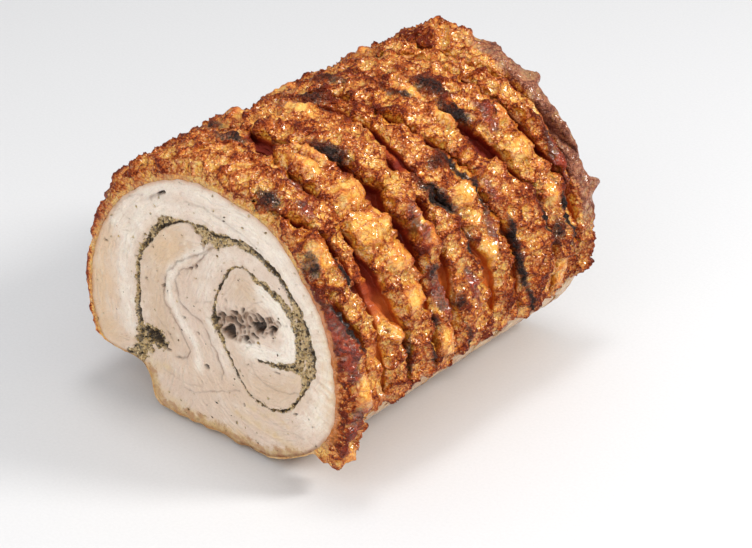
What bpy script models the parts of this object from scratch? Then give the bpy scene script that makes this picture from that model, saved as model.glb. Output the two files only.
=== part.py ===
"""A porchetta: boneless pork belly rolled round a herb filling and roasted.

The rind was scored across before roasting, so it puffed into uneven bands of crackling with
open cuts between them. The roll lies along Y. Both ends are sliced flat, and they show the
meat with the filling running through it as one spiral layer. The underside is bare meat,
pressed flat where the roll rests.
Lengths are in metres. Angles are in degrees round the roll's axis: 0 is the +X side and 90
the top. Stations along the roll count from the sliced face at -Y.
"""

import math

import bmesh
import bpy
from mathutils import Vector, noise

LENGTH = 0.180
AXIS_HEIGHT = 0.062
COLUMNS = 72
GAP = 0.0003

# Radius of the meat under the rind, by angle. The outer end of the rolled sheet makes the step
# between 207 and 226 degrees, and everything below the floor is pressed flat.
MEAT_RADIUS = (
    (0, 0.0720), (20, 0.0700), (40, 0.0680), (60, 0.0695), (80, 0.0672), (100, 0.0690),
    (120, 0.0695), (140, 0.0717), (160, 0.0747), (180, 0.0785), (198, 0.0815), (207, 0.0800),
    (217, 0.0640), (226, 0.0610), (236, 0.0680), (250, 0.0680), (270, 0.0640), (288, 0.0655),
    (300, 0.0680), (312, 0.0715), (324, 0.0750), (340, 0.0765),
)

# Height of the crackling over the meat, by angle. It ends at the two lower edges of the rind.
RIND_START = -38
RIND_END = 207
RIND_EDGE = 4
CRUST = (
    (-38, 0.0040), (-20, 0.0070), (0, 0.0095), (20, 0.0105), (40, 0.0125), (60, 0.0115),
    (90, 0.0120), (120, 0.0110), (140, 0.0095), (160, 0.0070), (180, 0.0045), (207, 0.0035),
    (264, 0.0035),
)
CRUST_FLOOR = 0.0015

# Where each score line crosses these angles, as stations along the roll.
SCORE_ANGLES = (-60, 0, 30, 60, 90, 150, 210)
SCORE_LINES = (
    (0.016, 0.011, 0.003, -0.014, -0.016, -0.012, -0.004),
    (0.029, 0.024, 0.0155, 0.001, -0.003, 0.004, 0.012),
    (0.044, 0.0395, 0.025, 0.0215, 0.022, 0.024, 0.030),
    (0.061, 0.057, 0.054, 0.048, 0.040, 0.044, 0.050),
    (0.081, 0.077, 0.071, 0.070, 0.071, 0.076, 0.078),
    (0.103, 0.099, 0.087, 0.081, 0.084, 0.089, 0.094),
    (0.123, 0.120, 0.109, 0.098, 0.097, 0.104, 0.112),
    (0.149, 0.1465, 0.137, 0.120, 0.118, 0.126, 0.134),
    (0.168, 0.1635, 0.159, 0.149, 0.147, 0.152, 0.158),
    (0.189, 0.185, 0.175, 0.163, 0.160, 0.166, 0.174),
    (0.210, 0.205, 0.196, 0.184, 0.180, 0.186, 0.192),
)
# How far each cut gapes on either side of its line, and the angle where it gapes most.
GAPES = (
    (0.0015, 15), (0.0025, 35), (0.0028, 25), (0.0045, 42), (0.0016, 60), (0.0030, 0),
    (0.0020, 45), (0.0060, 48), (0.0018, 60), (0.0025, 50), (0.0020, 60),
)
GAPE_SPREAD = 35
LIP = 0.0016
# How much further than the crust height each band swells.
BAND_SWELL = (-0.001, 0.000, 0.001, 0.0035, 0.000, -0.001, 0.001, -0.001, 0.0025, -0.001)
END_ROWS = (-0.040, 0.235)

BLISTER_SIZE = 0.013
BLISTER_HEIGHT = 0.0016

# The loose lower corner of the rind beside the sliced face.
FLAP_ANGLE = -31
FLAP_SPREAD = 9
FLAP_HEIGHT = 0.0065
FLAP_LENGTH = 0.018

# Middle line of the filling on the sliced face (x, height), from the outer seam inwards.
SEAM_MOUTH = (-0.0600, 0.0150)
SPIRAL = (
    (-0.0535, 0.0245), (-0.0470, 0.0370), (-0.0465, 0.0500), (-0.0490, 0.0630),
    (-0.0475, 0.0770), (-0.0420, 0.0900), (-0.0310, 0.1000), (-0.0170, 0.1060),
    (-0.0010, 0.1075), (0.0150, 0.1075), (0.0310, 0.1040), (0.0440, 0.0960),
    (0.0540, 0.0840), (0.0590, 0.0700), (0.0590, 0.0560), (0.0530, 0.0420),
    (0.0430, 0.0320), (0.0300, 0.0295), (0.0180, 0.0340), (0.0100, 0.0440),
    (0.0040, 0.0560), (0.0005, 0.0680), (0.0030, 0.0800), (0.0095, 0.0900),
    (0.0190, 0.0950), (0.0310, 0.0920), (0.0420, 0.0840), (0.0480, 0.0720),
    (0.0470, 0.0610), (0.0390, 0.0545), (0.0280, 0.0520),
)
SPIRAL_STEPS = 3
FILLING_THICK = 0.0052
FILLING_THIN = 0.0030
POCKET = ((-0.0005, 0.0640), (0.0120, 0.0655), (0.0250, 0.0680), (0.0380, 0.0705))
POCKET_THICK = 0.0085
POCKET_THIN = 0.0030


def clear_scene():
    for obj in list(bpy.data.objects):
        bpy.data.objects.remove(obj, do_unlink=True)


def round_curve(knots, angle):
    """A smooth value at this angle, through (angle, value) knots that go once round."""
    count = len(knots)
    first = knots[0][0]
    angle = first + (angle - first) % 360
    index = max(i for i in range(count) if knots[i][0] <= angle)

    def knot(i):
        turns, place = divmod(i, count)
        return knots[place][0] + 360 * turns, knots[place][1]

    (a0, v0), (a1, v1), (a2, v2), (a3, v3) = (knot(index + i) for i in (-1, 0, 1, 2))
    span = a2 - a1
    t = (angle - a1) / span
    start_slope = (v2 - v0) / (a2 - a0) * span
    end_slope = (v3 - v1) / (a3 - a1) * span
    return (
        (2 * t**3 - 3 * t**2 + 1) * v1
        + (t**3 - 2 * t**2 + t) * start_slope
        + (3 * t**2 - 2 * t**3) * v2
        + (t**3 - t**2) * end_slope
    )


def smooth_step(value):
    value = min(max(value, 0.0), 1.0)
    return value * value * (3 - 2 * value)


def bump(distance, width):
    return math.exp(-((distance / width) ** 2))


def rind_cover(angle):
    """1 where the rind covers the meat, falling to 0 past its lower edges."""
    angle = (angle + 90) % 360 - 90
    from_edge = min(angle - RIND_START, RIND_END - angle)
    return smooth_step(from_edge / RIND_EDGE + 0.5)


def score_station(line, angle):
    return round_curve(tuple(zip(SCORE_ANGLES, SCORE_LINES[line])), angle)


def gape(line, angle):
    half_width, centre = GAPES[line]
    turn = (angle - centre + 180) % 360 - 180
    return LIP + half_width * (0.35 + 0.65 * bump(turn, GAPE_SPREAD))


def surface_point(angle, station, height):
    """A point of the roll: height 0 is the floor of a cut, and 1 the top of a band."""
    turn = math.radians(angle)
    cover = rind_cover(angle)
    crust = round_curve(CRUST, angle) * height + CRUST_FLOOR * (1 - height)
    spot = Vector((math.cos(turn), math.sin(turn), 0)) * 0.075
    spot.z = station
    crust += BLISTER_HEIGHT * height * noise.noise(spot / BLISTER_SIZE)
    lower = (angle + 90) % 360 - 90 - FLAP_ANGLE
    crust += FLAP_HEIGHT * bump(lower, FLAP_SPREAD) * bump(max(station, 0), FLAP_LENGTH)
    radius = round_curve(MEAT_RADIUS, angle) + cover * crust
    z = AXIS_HEIGHT + radius * math.sin(turn)
    return Vector((radius * math.cos(turn), station - LENGTH / 2, max(z, 0)))


def band_rows(band, angle):
    """(station, height) pairs from the cut before a band to its far lip."""
    start = score_station(band, angle)
    end = score_station(band + 1, angle)
    near = start + gape(band, angle)
    far = end - gape(band + 1, angle)
    swell = 1 + BAND_SWELL[band] / 0.011
    return (start, 0), (near, 0.80 * swell), ((near + far) / 2, swell), (far, 0.84 * swell)


def column(angle):
    rows = [(END_ROWS[0], 0.8)]
    for band in range(len(SCORE_LINES) - 1):
        rows.extend(band_rows(band, angle))
    rows.append((score_station(len(SCORE_LINES) - 1, angle), 0))
    rows.append((END_ROWS[1], 0.8))
    return [surface_point(angle, station, height) for station, height in rows]


def new_object(name, form):
    bmesh.ops.recalc_face_normals(form, faces=form.faces)
    mesh = bpy.data.meshes.new(name)
    form.to_mesh(mesh)
    form.free()
    obj = bpy.data.objects.new(name, mesh)
    bpy.context.scene.collection.objects.link(obj)
    return obj


def lofted_roll():
    """The whole roll with its crackling, longer than the finished joint."""
    form = bmesh.new()
    columns = []
    for step in range(COLUMNS):
        points = column(360 * step / COLUMNS)
        columns.append([form.verts.new(point) for point in points])
    for step in range(COLUMNS):
        here, beside = columns[step], columns[(step + 1) % COLUMNS]
        for row in range(len(here) - 1):
            form.faces.new((here[row], beside[row], beside[row + 1], here[row + 1]))
    form.faces.new([points[0] for points in columns])
    form.faces.new([points[-1] for points in columns])
    return new_object("pork_roll", form)


def curve_through(points, steps):
    """Points of a smooth line through these, with this many steps between each two."""
    padded = [points[0], *points, points[-1]]
    line = []
    for index in range(1, len(padded) - 2):
        before, start, end, after = (Vector(padded[index + i]) for i in (-1, 0, 1, 2))
        for step in range(steps):
            t = step / steps
            line.append(
                0.5 * (
                    2 * start
                    + (end - before) * t
                    + (2 * before - 5 * start + 4 * end - after) * t**2
                    + (3 * start - before - 3 * end + after) * t**3
                )
            )
    line.append(Vector(points[-1]))
    return line


def ribbon(line, thicknesses):
    """The closed outline of a ribbon along a line, as (x, height) points."""
    left, right = [], []
    for index, point in enumerate(line):
        ahead = line[min(index + 1, len(line) - 1)] - line[max(index - 1, 0)]
        side = Vector((-ahead.y, ahead.x)).normalized() * thicknesses[index] / 2
        left.append(point + side)
        right.append(point - side)
    return left + right[::-1]


def spiral_thickness(along):
    """Thick at the outer turn, with two fuller places, and thin at the core."""
    base = FILLING_THICK + (FILLING_THIN - FILLING_THICK) * smooth_step(along)
    return base + 0.0012 * bump(along - 0.27, 0.05) + 0.0014 * bump(along - 0.04, 0.05)


def pocket_thickness(along):
    return POCKET_THIN + (POCKET_THICK - POCKET_THIN) * math.sin(math.pi * along) ** 0.7


def extruded(name, outline, front, back):
    """A solid with this outline in X and Z, from one Y to another."""
    form = bmesh.new()
    rim = [form.verts.new((point.x, front, point.y)) for point in outline]
    face = form.faces.new(rim)
    made = bmesh.ops.extrude_face_region(form, geom=[face])["geom"]
    moved = [item for item in made if isinstance(item, bmesh.types.BMVert)]
    bmesh.ops.translate(form, verts=moved, vec=(0, back - front, 0))
    return new_object(name, form)


def boolean(obj, operation, other):
    """Applies one Boolean, and removes the object it was made with."""
    modifier = obj.modifiers.new(operation.lower(), "BOOLEAN")
    modifier.operation = operation
    modifier.object = other
    graph = bpy.context.evaluated_depsgraph_get()
    mesh = bpy.data.meshes.new_from_object(obj.evaluated_get(graph))
    obj.modifiers.clear()
    obj.data = mesh
    mesh.name = obj.name
    bpy.data.objects.remove(other, do_unlink=True)


def layer_outline(points, thickness_at):
    """The outline of a layer through these points."""
    line = curve_through(points, SPIRAL_STEPS)
    return ribbon(line, [thickness_at(step / (len(line) - 1)) for step in range(len(line))])


def slot_outline(points, thickness_at):
    """The outline of the same layer with a gap all round it."""
    line = curve_through(points, SPIRAL_STEPS)
    thicknesses = [thickness_at(step / (len(line) - 1)) + 2 * GAP for step in range(len(line))]
    beyond = [line[0] + (line[0] - line[1]).normalized() * GAP]
    past = [line[-1] + (line[-1] - line[-2]).normalized() * GAP]
    return ribbon(beyond + line + past, thicknesses[:1] + thicknesses + thicknesses[-1:])


def layer_solid(name, outline_of, front, back):
    """The spiral and the pocket at its core, joined, with outlines from one function."""
    layer = extruded(name, outline_of(SPIRAL, spiral_thickness), front, back)
    boolean(layer, "UNION", extruded("pocket", outline_of(POCKET, pocket_thickness), front, back))
    return layer


def mouth_solid(front, back):
    """The open seam from the outer end of the spiral to the outside."""
    line = [Vector(SPIRAL[0]), Vector(SEAM_MOUTH)]
    return extruded("mouth", ribbon(line, [spiral_thickness(0) + 2 * GAP] * 2), front, back)


def trim_ends(roll):
    """Slices the roll flat at both ends."""
    reach = 0.15
    corners = [Vector(corner) for corner in ((-reach, -reach), (reach, -reach), (reach, reach))]
    corners.append(Vector((-reach, reach)))
    boolean(roll, "INTERSECT", extruded("trim", corners, -LENGTH / 2, LENGTH / 2))


def material(name, colour, roughness):
    made = bpy.data.materials.new(name)
    made.use_nodes = True
    shader = made.node_tree.nodes["Principled BSDF"]
    shader.inputs["Base Color"].default_value = (*colour, 1)
    shader.inputs["Roughness"].default_value = roughness
    shader.inputs["Metallic"].default_value = 0
    return made


def finish(obj, made):
    obj.data.materials.clear()
    obj.data.materials.append(made)
    obj.data.shade_smooth()
    obj.data.set_sharp_from_angle(angle=math.radians(35))


def build():
    clear_scene()
    half = LENGTH / 2
    roll = lofted_roll()
    trim_ends(roll)
    slot = layer_solid("slot", slot_outline, -LENGTH, LENGTH)
    boolean(slot, "UNION", mouth_solid(-LENGTH, LENGTH))
    boolean(roll, "DIFFERENCE", slot)
    filling = layer_solid("herb_filling", layer_outline, -half, half)
    finish(roll, material("roast_pork", (0.56, 0.27, 0.09), 0.4))
    finish(filling, material("herb_paste", (0.20, 0.17, 0.08), 0.8))


build()
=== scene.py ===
"""Looks of the porchetta: puffed crackling in bands, the sliced faces and the herb filling.

Lengths in the tables and arrays are millimetres, and make_mesh() turns them into metres.
Angles are degrees round the roll's axis: 0 is the +X side and 90 the top. Stations along the
roll count from the near sliced face. Every surface is a grid worked out with numpy.
"""

import itertools
import math

import bpy
import numpy as np
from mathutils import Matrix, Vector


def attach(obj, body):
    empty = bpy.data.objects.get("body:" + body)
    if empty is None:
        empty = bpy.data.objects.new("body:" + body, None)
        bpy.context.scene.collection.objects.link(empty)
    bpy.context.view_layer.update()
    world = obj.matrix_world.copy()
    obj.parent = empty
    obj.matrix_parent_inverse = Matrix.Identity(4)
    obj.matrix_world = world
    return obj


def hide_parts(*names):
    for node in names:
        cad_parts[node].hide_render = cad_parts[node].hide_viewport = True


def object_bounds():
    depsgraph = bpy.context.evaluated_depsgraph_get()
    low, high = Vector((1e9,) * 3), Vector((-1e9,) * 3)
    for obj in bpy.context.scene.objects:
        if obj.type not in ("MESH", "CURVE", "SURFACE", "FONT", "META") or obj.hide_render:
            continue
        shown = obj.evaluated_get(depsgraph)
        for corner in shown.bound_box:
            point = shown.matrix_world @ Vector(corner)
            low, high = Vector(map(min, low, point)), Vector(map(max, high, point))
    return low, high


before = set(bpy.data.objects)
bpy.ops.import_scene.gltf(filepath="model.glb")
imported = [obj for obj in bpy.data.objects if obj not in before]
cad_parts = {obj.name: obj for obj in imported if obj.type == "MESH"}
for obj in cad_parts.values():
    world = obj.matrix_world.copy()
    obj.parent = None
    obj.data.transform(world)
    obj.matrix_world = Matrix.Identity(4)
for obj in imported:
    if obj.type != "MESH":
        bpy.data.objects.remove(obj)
cad_low, cad_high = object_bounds()

METRE = 0.001
LENGTH = (cad_high[1] - cad_low[1]) / METRE
AXIS_HEIGHT = 62.0
# How deep the pockets for the sliced meat are, and the rows of the grid down the rind's cut edge.
POCKET_DEPTH = 14.0
EDGE_ROWS = 9

# ------------------------------------------------------------------ shape of the roll

# Radius of the meat and height of the rind above it, as (angle, millimetres).
MEAT_RADIUS = (
    (0, 72), (20, 70), (40, 68), (60, 69.5), (80, 67.2), (100, 69), (120, 69.5), (140, 71.7),
    (160, 74.7), (180, 78.5), (198, 81.5), (207, 80), (217, 64), (226, 61), (236, 68), (250, 68),
    (270, 64), (288, 65.5), (300, 68), (312, 71.5), (324, 75), (340, 76.5),
)
CRUST = (
    (-38, 4), (-20, 6.5), (0, 9), (20, 10.2), (40, 12.2), (60, 11.2), (90, 11.5), (120, 10),
    (140, 8.5), (160, 6.5), (180, 4.5), (207, 3.5), (264, 3.5),
)
# Where the rind begins and ends round the roll and half the width of the fade there, in
# degrees. Past the loose corner its lower right edge lies higher by RIND_RISE degrees.
RIND_START = -36
RIND_END = 207
RIND_EDGE = 3.0
RIND_RISE = 18
# How high the bottom of an open cut lies above the meat.
CRUST_FLOOR = 2.4

# Stations of each score line at the score angles.
SCORE_ANGLES = (-60, 0, 15, 30, 45, 60, 75, 90, 120, 150, 210)
SCORE_LINES = (
    (-20, -24, -28, -32, -36, -40, -42, -44, -42, -40, -34),
    (17, 13.5, 8.5, 1, -6, -14, -15, -16, -14, -12, -4),
    (31, 25, 22, 18, 14, 3, -2, -6, -2, 4, 12),
    (45, 40, 33, 29, 25.5, 24.5, 25.5, 33, 27, 27, 32),
    (62, 59, 58, 57, 53, 51, 46, 39, 41, 47, 54),
    (78, 74, 73, 73.5, 71.5, 73.5, 75, 75, 60, 66, 76),
    (107, 103, 97, 91, 83, 82, 83, 83, 72, 76, 92),
    (125, 121, 119, 113, 110, 101, 97, 95, 85, 93, 110),
    (152, 150, 148, 140.5, 130.5, 123.5, 120, 118, 112, 116, 134),
    (172, 170, 167.5, 163.5, 157, 153, 152, 151, 139, 140, 152),
    (194, 189, 184, 178, 174, 168, 164.5, 163, 158, 160, 172),
    (212, 206, 203, 198, 193, 189, 186, 184, 182, 186, 194),
    (240, 236, 232, 228, 222, 218, 216, 214, 216, 220, 226),
)
# Where the cuts stand open: (score line, angle, spread in degrees, half width).
GAPES = (
    (1, 15, 25, 0.9), (2, 50, 8, 1.5), (2, 24, 5, 2.2), (3, 88, 5, 4.4), (3, 23, 12, 2.2),
    (4, 50, 5, 5.2), (4, 33, 12, 3.4), (4, 66, 7, 1.6), (5, 40, 5, 3.4), (5, 56, 4, 3),
    (5, 12, 10, 3), (6, 5, 11, 3), (7, 50, 10, 0.8), (8, 48, 9, 4.4), (8, 30, 10, 1.4),
    (9, 40, 25, 1.1), (9, 5, 12, 1.2), (10, 50, 20, 1.2), (11, 60, 30, 1.2), (5, 120, 20, 1.6),
    (7, 135, 18, 2), (9, 125, 15, 2.5), (3, 150, 20, 1.5), (7, 2, 9, 1.8), (4, 5, 10, 1.5),
    (3, 2, 10, 1.6), (2, 168, 14, 2.6), (4, 172, 12, 3.2), (5, 158, 9, 2.2), (6, 166, 11, 2.8),
    (8, 178, 13, 3), (9, 160, 10, 2.6), (10, 170, 14, 2.8), (7, 184, 9, 2.4), (3, 186, 9, 2.4),
    (6, 132, 9, 2.4), (8, 118, 12, 2.6), (4, 136, 10, 2.6), (1, 150, 18, 1.8), (11, 150, 16, 1.8),
)
CLOSED_GAPE = 0.6
# The loose lower corner of the rind beside the near sliced face.
FLAP_ANGLE = -31
FLAP_SPREAD = 9
FLAP_HEIGHT = 8.0
# How far the rind hangs over the far face, and its torn tips: (angle, spread, length).
FAR_LIP = 2.5
TIPS = ((17, 2.6, 7.0), (60, 3, 5.0), (80, 4, 5.0), (36, 8, 1.5), (120, 9, 2.5))
# How far each band swells beyond the others.
BAND_SWELL = (0, -1, 0, 1, 1.5, 0, -1, 0.5, 0, 1, 0, 0)
# Broad swells and dips: (angle, station, spread in degrees, spread along, height).
HEAPS = (
    (92, 177, 20, 11, 5), (124, 143, 14, 8, -3.5), (124, 96, 22, 9, -2), (12, 63, 9, 5, -3.5),
    (-14, 172, 14, 16, -4.5), (48, 122, 9, 4, -3), (70, 33, 12, 9, 1.5), (98, 33, 8, 10, 1.5),
)
# Large smooth blisters: (angle, station, half width round the roll, half length, height).
BULBS = (
    (54, 37.5, 7.5, 10, 4.6), (42, 35, 8.5, 8.5, 4), (42, 45, 6.5, 4.5, 2.8), (30, 44, 8, 8, 3.2),
    (16, 46, 8, 8, 3), (73, 39.5, 12, 3.8, 3.6), (70, 31, 12, 4.5, 2.6), (78, 116, 11, 4.6, 3.2),
    (62, 116, 7.5, 3.8, 3), (36, 98, 6, 7, 3.8), (28, 100, 4.5, 5, 2.6), (40, 146, 6, 9, 4.2),
    (22, 153, 7, 5, 3.2), (32, 152, 3, 2.6, 1.8), (53, 147, 5.5, 2.6, 2.6), (15, 103, 9, 5, 3),
    (33, 65, 11, 4.5, 2.4), (7, 32, 4.5, 4, 2.8), (93, 65, 9, 6, 2.6), (112, 55, 9, 6, 2),
    (62, 76, 10, 4.5, 2.2), (128, 102, 9, 6, 2.2), (140, 74, 8, 5, 2), (118, 150, 9, 6, 2),
    (160, 40, 7, 5, 1.6), (165, 125, 8, 6, 1.8), (-5, 66, 7, 5.5, 3), (41, 5, 8, 5, 3),
    (-6, 9, 9, 5.5, 3.4), (-8, 154, 8, 8, 2), (-29, 5, 6, 5, 2),
)
# Paler and browner areas: (angle, station, half width in degrees, half length, strength).
TONES = (
    (98, 14, 7, 8, 0.5), (87, 15, 4, 5, 0.45), (118, 8, 12, 4, 0.35), (76, 6, 9, 3, 0.3),
    (42, 34, 6, 6, 0.5), (16, 45, 6, 7, 0.35), (41, 5, 7, 4, 0.4), (-30, 4, 7, 6, 0.5),
    (-6, 9, 9, 5, 0.6), (-4, 66, 7, 5, 0.4), (63, 31, 6, 4, 0.3), (98, 53, 7, 7, 0.35),
    (92, 66, 7, 5, 0.35), (68, 62, 10, 5, 0.25), (60, 76, 8, 4, 0.35), (8, 32, 5, 4, 0.35),
    (48, 62, 8, 5, 0.2), (98, 150, 10, 10, 0.4), (88, 152, 7, 6, 0.5), (40, 145, 6, 9, 0.45),
    (54, 147, 5, 2.5, 0.4), (22, 153, 6, 4, 0.35), (77, 117, 9, 4, 0.3), (61, 116, 7, 4, 0.4),
    (60, 170, 14, 4, 0.35), (84, 168, 12, 7, 0.3), (36, 98, 6, 7, 0.45), (15, 103, 9, 5, 0.4),
    (-8, 152, 7, 9, 0.35), (28, 97, 4, 4, 0.3), (44, 113, 6, 4, 0.25), (28, 121, 9, 3, 0.2),
    (45, 137, 9, 4, 0.25), (-4, 104, 6, 4, 0.3), (-12, 22, 5, 8, 0.3), (70, 53, 12, 5, -0.35),
    (98, 80, 13, 9, -0.45), (93, 35, 9, 8, -0.4), (63, 4, 11, 5, -0.3), (53, 15, 10, 4, -0.25),
    (13, 4, 12, 4, -0.5), (38, 74, 9, 5, -0.35), (50, 78, 5, 8, -0.4), (18, 63, 12, 5, -0.2),
    (75, 132, 14, 8, -0.45), (62, 128, 6, 6, -0.4), (98, 114, 10, 9, -0.35), (98, 96, 12, 9, -0.4),
    (83, 98, 10, 5, -0.25), (50, 96, 5, 8, -0.4), (12, 123, 14, 4, -0.3), (20, 92, 6, 4, -0.35),
    (8, 152, 6, 6, -0.35), (104, 170, 10, 10, -0.45), (38, 164, 9, 3, -0.35),
    (30, 176, 22, 4, -0.4), (130, 60, 14, 10, -0.3), (145, 110, 14, 12, -0.3),
    (160, 160, 16, 10, -0.3), (170, 30, 12, 12, -0.3), (150, 88, 8, 8, 0.3), (135, 125, 9, 7, 0.3),
    (128, 20, 9, 8, 0.3),
)
# Red glossy skin that hasn't puffed, written as the burnt streaks are.
GLAZES = (
    (12, 2.5, 14, 3.5, -0.15, 1), (11, 67, 9, 3.5, -0.25, 1), (-17, 6, 8, 4, 0.3, 0.7),
    (36, 63, 6, 2.5, 0, 0.9), (55, 139, 6, 3, 0, 0.8), (32, 166, 10, 2.5, 0, 0.8),
    (20, 109, 6, 3, -0.2, 0.7), (158, 4, 16, 4.5, 0, 0.5), (184, 4, 8, 4, 0, 0.45),
    (8, 88, 7, 3, -0.3, 0.8), (57, 13, 5, 4, 0, 0.6), (66, 21, 6, 3, 0, 0.6),
    (34, 116, 5, 2, 0, 0.6),
)
# Burnt streaks: (angle, station, half width in degrees, half length, drift along the roll for
# each degree, strength).
CHARS = (
    (70, 50, 7, 5, -0.2, 0.9), (76, 130, 8, 6, -0.3, 0.8), (62, 126, 6, 5, -0.4, 0.9),
    (39, 86, 9, 4, -0.55, 1.1), (50, 95, 3, 6, 0, 0.7), (45, 103.5, 9, 2.5, -0.35, 1.1),
    (34, 107.5, 7, 2, -0.2, 1), (21, 93, 5, 3.5, -0.2, 0.9), (14, 122, 9, 2.2, -0.1, 1),
    (2, 125, 10, 2.5, -0.3, 1), (-10, 130, 8, 2, -0.5, 0.9), (8, 153, 5, 7, 0, 0.8),
    (14, 144, 12, 1.6, -0.25, 1.1), (12, 162, 13, 1.6, -0.2, 1.1), (92, 79, 5, 5, 0, 0.8),
    (101, 85, 7, 7, 0, 0.7), (99, 27, 7, 4, 0, 0.8), (86, 34, 3, 3, 0, 0.8),
    (33, 13.5, 8, 1.3, -0.15, 1.2), (25, 20.5, 5, 1.5, 0, 1), (17, 5.5, 10, 1.4, -0.48, 1.3),
    (66, 4, 5, 4, 0, 0.9), (40, 1, 5, 1.5, 0, 0.9), (-3, 40.5, 9, 2.8, -0.1, 1.1),
    (2, 60, 3, 3, 0, 0.9), (-6, 56, 6, 2, -0.3, 0.9), (19, 65, 3, 4, 0, 0.8),
    (5, 78, 3, 4, 0, 0.7), (-10, 83, 8, 1.5, -0.5, 0.8), (40, 165, 8, 2.5, 0, 0.6),
    (78, 111, 7, 1.6, -0.3, 0.8), (120, 42, 8, 6, 0.1, 0.7), (140, 130, 10, 5, 0.1, 0.8),
    (150, 60, 9, 5, 0.2, 0.7), (172, 95, 9, 6, 0.1, 0.7), (104, 104, 8, 5, 0, 0.7),
    (165, 20, 8, 4, 0.1, 0.7), (180, 150, 9, 5, 0, 0.7), (190, 70, 8, 5, 0.1, 0.6),
)

# ------------------------------------------------------------------ sliced face

# The line of the filling from its mouth at the lower left to the core, as (x, z, how far the
# paste spreads outside it and inside it, how dark its herbs are, how wide they lie).
SPIRAL = (
    (-56, 24.5, 1.5, 1, 0.9, 1.4), (-50, 27, 3.5, 6, 0.5, 1.6), (-47, 36, 3.5, 9, 0.6, 2),
    (-46.5, 45, 3, 2, 0.8, 1.6), (-47.5, 53, 3.5, 1, 1, 2), (-47, 62, 2.5, 0.8, 0.8, 1.1),
    (-47, 72, 2.5, 0.8, 0.85, 1.2), (-44, 82, 3, 0.8, 0.9, 1.5), (-39, 90, 3, 0.8, 1, 2),
    (-33, 97, 4, 0.8, 1, 2.2), (-27, 102, 5.5, 0.8, 0.95, 1.6), (-20, 106, 2, 0.6, 0.9, 0.9),
    (-13, 107.5, 1.2, 0.6, 0.9, 0.8), (-6, 108, 1.5, 9, 0.9, 1.3), (3, 107, 2, 7, 0.7, 1.4),
    (12, 108.5, 1.2, 4, 0.7, 1.3), (22, 108, 1.2, 3, 0.7, 1.3), (32, 104, 1.2, 2, 1, 2.2),
    (40, 99, 1.5, 1.5, 1, 2), (46, 93, 1.5, 2, 1, 2.4), (52, 86.5, 1.5, 5, 0.8, 1.5),
    (56, 78, 1.2, 8, 0.9, 1.8), (59, 69, 1.2, 10, 0.85, 1.5), (60, 60, 1.5, 9, 0.95, 2),
    (56.5, 51, 1.2, 5, 0.85, 1.4), (51.5, 42, 0.8, 1, 0.8, 0.9), (45, 33.5, 0.8, 0.8, 0.85, 0.9),
    (38, 30, 0.7, 0.7, 0.95, 0.8), (30, 29, 0.7, 0.7, 0.95, 0.8), (21, 32, 0.7, 0.7, 0.85, 0.8),
    (14, 39.5, 0.8, 0.8, 0.9, 1.2), (9.5, 46.5, 1, 1, 0.8, 1.2), (4.5, 55, 1.5, 1.5, 0.6, 1.3),
    (0, 64, 2.2, 2.5, 0.85, 2.4), (1, 72, 1, 1, 0.7, 1.1), (4, 81, 0.8, 1, 0.85, 1.2),
    (8.5, 88.5, 0.8, 0.8, 0.9, 1.2), (13, 94.5, 0.7, 0.7, 0.9, 0.8), (20, 96, 0.7, 0.7, 0.8, 0.8),
    (26, 93, 2, 1.5, 0.6, 1.2), (34, 90.5, 3, 1.5, 0.6, 1.3), (42, 85.5, 4.5, 1.2, 0.45, 1),
    (48, 77, 5.5, 1, 0.4, 0.9), (49.5, 67, 6, 1, 0.4, 0.9), (49, 58, 5, 1.5, 0.45, 1.2),
    (42, 54, 1.5, 2.5, 0.7, 1.5), (33, 52.5, 1, 1.5, 0.8, 1.4), (26, 51.5, 0.8, 0.8, 0.7, 1),
)
# Seams between muscles, as (strength, width, line).
SEAMS = (
    (1, 0.55, ((0, 100), (-6, 95), (-12, 91), (-20, 86), (-24, 82), (-28, 77), (-30.5, 71),
        (-31, 62), (-28, 57), (-22, 50), (-18, 44), (-16, 40), (-18, 36), (-24, 34))),
    (1, 0.55, ((0, 100), (-5, 94), (-8, 90), (-13, 85), (-19, 82), (-22.5, 77), (-23, 71),
        (-21, 65), (-15, 61), (-8, 59), (-4, 53), (0, 47), (3, 42), (5, 37), (4, 33))),
    (1, 0.8, ((-13, 107), (-9, 105), (-6, 101), (-5, 97))),
    (0.5, 0.6, ((-16, 118), (-5, 118), (5, 116), (15, 114), (30, 108))),
    (0.5, 0.5, ((-66, 84), (-61, 98), (-52, 108), (-42, 112))),
    (0.9, 1.1, ((-37, 112.5), (-32, 115.5), (-28, 118))),
    (0.45, 0.5, ((22, 50), (25, 44), (32, 41), (42, 41), (50, 44))),
    (0.55, 0.5, ((15, 31), (8, 28), (0, 25), (-10, 20.5), (-20, 18.5))),
    (0.45, 0.5, ((-1, 72), (-6, 70), (-12, 67.5))), (0.35, 0.5, ((-33, 24), (-20, 22), (-8, 24))),
    (0.35, 0.5, ((30, 24), (42, 22), (54, 21))), (0.45, 0.5, ((-36, 51), (-31, 47), (-25, 41))),
    (0.4, 0.5, ((20, 74), (24, 80), (30, 84))),
)
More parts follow.
